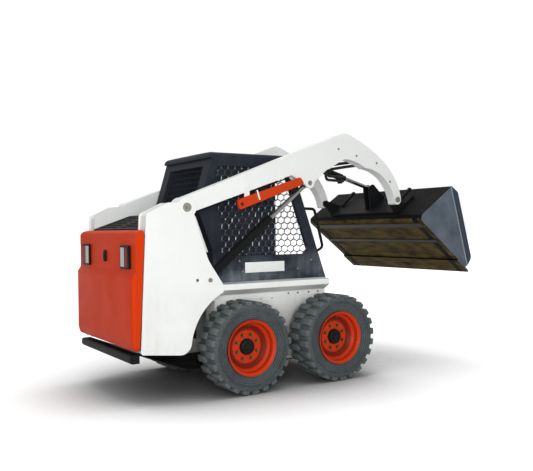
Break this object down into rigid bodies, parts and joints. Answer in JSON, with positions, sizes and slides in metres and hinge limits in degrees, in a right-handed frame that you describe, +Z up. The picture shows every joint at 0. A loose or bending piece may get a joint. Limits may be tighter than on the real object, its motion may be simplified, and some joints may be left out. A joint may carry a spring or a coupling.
{
  "type": "skid steer loader",
  "caption": "Compact wheeled loader with rear-pivoted lift arms, a tipping bucket on a quick coupler, an open-fronted cab and a swinging tailgate.",
  "frame": {"origin": "on the ground under the middle of the machine, with its arms half raised", "axes": "+X forward to the bucket, +Y to the left, +Z up"},
  "size_m": [3.4125, 1.724, 2.1785],
  "materials": {
    "white_paint": "gloss",
    "red_orange_paint": "gloss",
    "black_paint": "satin",
    "dark_grey_paint": "satin",
    "worn_steel": "scuffed",
    "chromed_rod": "polished",
    "tyre_rubber": "matt",
    "seat_vinyl": "satin",
    "hose_rubber": "matt",
    "clear_lens": "gloss",
    "red_lens": "gloss",
    "lamp_plastic": "gloss"
  },
  "bodies": {
    "chassis": {"chaincase_left": "white_paint", "chaincase_right": "white_paint", "belly_pan": "black_paint", "floor_pan": "black_paint", "fender_left": "white_paint", "fender_right": "white_paint", "upright_left": "white_paint", "upright_right": "white_paint", "engine": "black_paint", "rear_bumper": "black_paint", "rear_grille": "black_paint", "cab_roof": "dark_grey_paint", "cab_side_left": "dark_grey_paint", "cab_side_right": "dark_grey_paint", "side_screen_left": "dark_grey_paint", "side_screen_right": "dark_grey_paint", "cab_rear": "dark_grey_paint", "rear_screen": "dark_grey_paint", "seat": "seat_vinyl", "control_levers": "black_paint", "grab_handles": "black_paint"},
    "lift_arms": {"lift_arm_left": "white_paint", "lift_arm_right": "white_paint", "arm_crossmember": "white_paint", "lift_arm_support": "red_orange_paint", "arm_tube_left": "black_paint", "arm_tube_right": "black_paint"},
    "bucket": {"bucket_shell": "worn_steel", "cutting_edge": "worn_steel", "wear_strips": "worn_steel", "coupler": "black_paint", "coupler_levers": "black_paint"},
    "tailgate": {"tailgate": "red_orange_paint", "tail_lamps": "lamp_plastic", "clear_lenses": "clear_lens", "red_lenses": "red_lens", "tailgate_latch": "black_paint"},
    "tilt_barrel": {"tilt_barrel": "black_paint", "tilt_hoses": "hose_rubber"},
    "tilt_rod": {"tilt_rod": "chromed_rod"},
    "lift_barrel_left": {"lift_barrel_left": "black_paint"},
    "lift_rod_left": {"lift_rod_left": "chromed_rod"},
    "wheel_front_left": {"tyre_front_left": "tyre_rubber", "rim_front_left": "red_orange_paint", "axle_front_left": "black_paint"},
    "wheel_rear_left": {"tyre_rear_left": "tyre_rubber", "rim_rear_left": "red_orange_paint", "axle_rear_left": "black_paint"},
    "lift_barrel_right": {"lift_barrel_right": "black_paint"},
    "lift_rod_right": {"lift_rod_right": "chromed_rod"},
    "wheel_front_right": {"tyre_front_right": "tyre_rubber", "rim_front_right": "red_orange_paint", "axle_front_right": "black_paint"},
    "wheel_rear_right": {"tyre_rear_right": "tyre_rubber", "rim_rear_right": "red_orange_paint", "axle_rear_right": "black_paint"}
  },
  "joints": [
    {"name": "lift", "type": "hinge", "parent": "chassis", "child": "lift_arms", "pos_m": [-1.248, 0, 1.507], "axis": [0, -1, 0], "range_deg": [-38, 32.5]},
    {"name": "bucket_tilt", "type": "hinge", "parent": "lift_arms", "child": "bucket", "pos_m": [0.976, 0, 1.593], "axis": [0, 1, 0], "range_deg": [-104, 37]},
    {"name": "tailgate_swing", "type": "hinge", "parent": "chassis", "child": "tailgate", "pos_m": [-1.598, 0.654, 0.9], "axis": [0, 0, -1], "range_deg": [0, 100]},
    {"name": "lift_barrel_left_swing", "type": "hinge", "parent": "chassis", "child": "lift_barrel_left", "pos_m": [-1.053, 0.562, 0.933], "axis": [0, -1, 0], "range_deg": [-33.15, 28.43]},
    {"name": "lift_rod_left_slide", "type": "slide", "parent": "lift_barrel_left", "child": "lift_rod_left", "axis": [0.785, 0, 0.6194], "range_m": [-0.3785, 0.324]},
    {"name": "lift_barrel_right_swing", "type": "hinge", "parent": "chassis", "child": "lift_barrel_right", "pos_m": [-1.053, -0.562, 0.933], "axis": [0, -1, 0], "range_deg": [-33.15, 28.43]},
    {"name": "lift_rod_right_slide", "type": "slide", "parent": "lift_barrel_right", "child": "lift_rod_right", "axis": [0.785, 0, 0.6194], "range_m": [-0.3785, 0.324]},
    {"name": "tilt_barrel_swing", "type": "hinge", "parent": "lift_arms", "child": "tilt_barrel", "pos_m": [0.312, -0.06, 1.955], "axis": [0, -1, 0], "range_deg": [-1.17, 2.39]},
    {"name": "tilt_rod_slide", "type": "slide", "parent": "tilt_barrel", "child": "tilt_rod", "axis": [0.9627, 0, -0.2704], "range_m": [-0.3091, 0.1113]},
    {"name": "wheel_front_left_roll", "type": "hinge", "parent": "chassis", "child": "wheel_front_left", "pos_m": [0.172, 0.615, 0.376], "axis": [0, 1, 0], "continuous": true},
    {"name": "wheel_front_right_roll", "type": "hinge", "parent": "chassis", "child": "wheel_front_right", "pos_m": [0.172, -0.615, 0.376], "axis": [0, 1, 0], "continuous": true},
    {"name": "wheel_rear_left_roll", "type": "hinge", "parent": "chassis", "child": "wheel_rear_left", "pos_m": [-0.728, 0.615, 0.376], "axis": [0, 1, 0], "continuous": true},
    {"name": "wheel_rear_right_roll", "type": "hinge", "parent": "chassis", "child": "wheel_rear_right", "pos_m": [-0.728, -0.615, 0.376], "axis": [0, 1, 0], "continuous": true}
  ],
  "couplings": [
    {"joint": "lift_barrel_left_swing", "follows": "lift", "ratio": 0.8593},
    {"joint": "lift_rod_left_slide", "follows": "lift", "m_per_rad": 0.56774},
    {"joint": "lift_barrel_right_swing", "follows": "lift", "ratio": 0.8593},
    {"joint": "lift_rod_right_slide", "follows": "lift", "m_per_rad": 0.56774},
    {"joint": "tilt_barrel_swing", "follows": "bucket_tilt", "ratio": -0.0182},
    {"joint": "tilt_rod_slide", "follows": "bucket_tilt", "m_per_rad": 0.16918}
  ]
}
